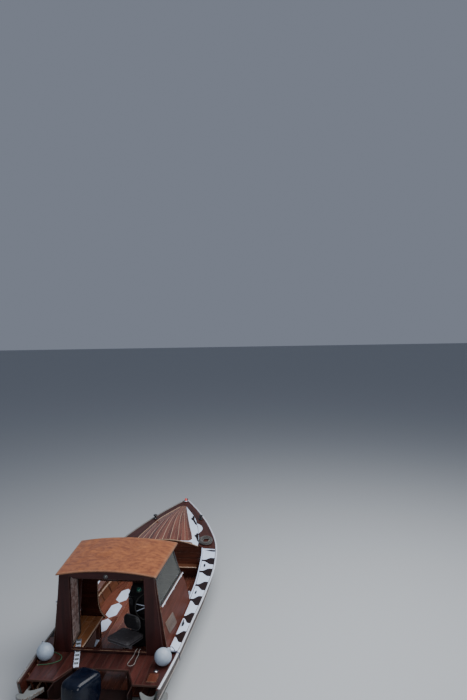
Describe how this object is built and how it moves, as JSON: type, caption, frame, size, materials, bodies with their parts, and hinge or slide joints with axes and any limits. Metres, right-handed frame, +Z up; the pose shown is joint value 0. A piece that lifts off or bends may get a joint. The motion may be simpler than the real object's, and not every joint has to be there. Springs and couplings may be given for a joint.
{
  "type": "venetian wooden motor boat with wheelhouse",
  "caption": "Varnished wooden canal motor boat with a small open-backed wheelhouse, crowned foredeck and a tilting outboard motor.",
  "frame": {"origin": "centreline amidships at the waterline", "axes": "+X to the bow, +Y to port, +Z up"},
  "size_m": [7.4076, 2.2434, 2.358],
  "materials": {
    "hull_paint": "dark green-black paint on planking, dull",
    "dark_varnish": "dark red-brown mahogany, gloss varnish",
    "varnish": "red-brown mahogany, gloss varnish",
    "roof_varnish": "orange-brown plywood, satin varnish",
    "weathered_paint": "grey-brown peeling paint on timber",
    "white_paint": "white satin paint on timber",
    "bright_strip": "bright half-round strip",
    "glass": "clear grey-green glass",
    "chrome": "polished chrome",
    "black_paint": "black, semi-gloss",
    "vinyl": "dark grey vinyl",
    "fender_rubber": "white-grey inflated vinyl, matte",
    "rope_blue": "dark blue laid rope",
    "rope_green": "green laid rope",
    "rope_light": "grey-white laid rope",
    "lamp_red": "red lamp glass",
    "motor_paint": "dark blue-black gloss paint"
  },
  "bodies": {
    "hull": {"bottom": "hull_paint", "side_port": "hull_paint", "side_starboard": "hull_paint", "keel_and_stem": "dark_varnish", "transom": "dark_varnish", "motor_well": "dark_varnish", "fore_bulkhead": "dark_varnish", "rear_frame": "dark_varnish", "front_bulkhead": "dark_varnish", "rub_strake_port": "weathered_paint", "rub_strake_starboard": "weathered_paint", "gunwale_strip_port": "bright_strip", "gunwale_strip_starboard": "bright_strip", "side_deck_starboard": "white_paint", "coaming_port": "white_paint", "coaming_starboard": "white_paint", "quarter_knee_port": "white_paint", "quarter_knee_starboard": "white_paint", "boarding_plank": "white_paint", "side_deck_port": "varnish", "foredeck": "varnish", "aft_deck": "varnish", "sole": "varnish", "bow_step": "varnish", "cabin_side_port": "varnish", "cabin_side_starboard": "varnish", "bench": "varnish", "roof": "roof_varnish", "side_window_port": "glass", "side_window_starboard": "glass", "windscreen_port": "glass", "windscreen_starboard": "glass", "handrail_port": "chrome", "handrail_starboard": "chrome", "seat_post": "chrome", "windscreen_frame": "black_paint", "helm_console": "black_paint", "compass": "black_paint", "throttle": "black_paint", "bollard_port": "black_paint", "bollard_starboard": "black_paint", "deck_cleat": "black_paint", "fender_port": "fender_rubber", "fender_starboard": "fender_rubber", "fender_lanyard_port": "rope_blue", "fender_lanyard_starboard": "rope_blue", "green_rope": "rope_green", "beam_rope": "rope_light", "rope_coil": "rope_light", "bow_lamp": "lamp_red", "clamp_bracket": "motor_paint"},
    "tilt": {"swivel_bracket": "motor_paint"},
    "motor": {"cowling": "motor_paint", "midsection": "motor_paint", "gearcase": "motor_paint"},
    "propeller": {"propeller": "motor_paint"},
    "steering_wheel": {"steering_wheel": "black_paint"},
    "helm_seat": {"seat_cushion": "vinyl", "seat_back": "vinyl"}
  },
  "joints": [
    {"name": "outboard_tilt", "type": "hinge", "parent": "hull", "child": "tilt", "pos_m": [-3.556, 0, 0.335], "axis": [0, 1, 0], "range_deg": [0, 60]},
    {"name": "outboard_steer", "type": "hinge", "parent": "tilt", "child": "motor", "pos_m": [-3.675, 0, 0.2], "axis": [0, 0, 1], "range_deg": [-9, 51]},
    {"name": "propeller_spin", "type": "hinge", "parent": "motor", "child": "propeller", "pos_m": [-3.97561, 0.11539, -0.395], "axis": [0.9336, -0.3584, 0], "continuous": true},
    {"name": "wheel_turn", "type": "hinge", "parent": "hull", "child": "steering_wheel", "pos_m": [-1.825, -0.405, 0.885], "axis": [0.848, 0, -0.5299], "range_deg": [-162, 918]},
    {"name": "seat_swivel", "type": "hinge", "parent": "hull", "child": "helm_seat", "pos_m": [-2.16, -0.135, 0.495], "axis": [0, 0, 1], "continuous": true}
  ],
  "couplings": [
    {"joint": "wheel_turn", "follows": "outboard_steer", "ratio": 18}
  ]
}
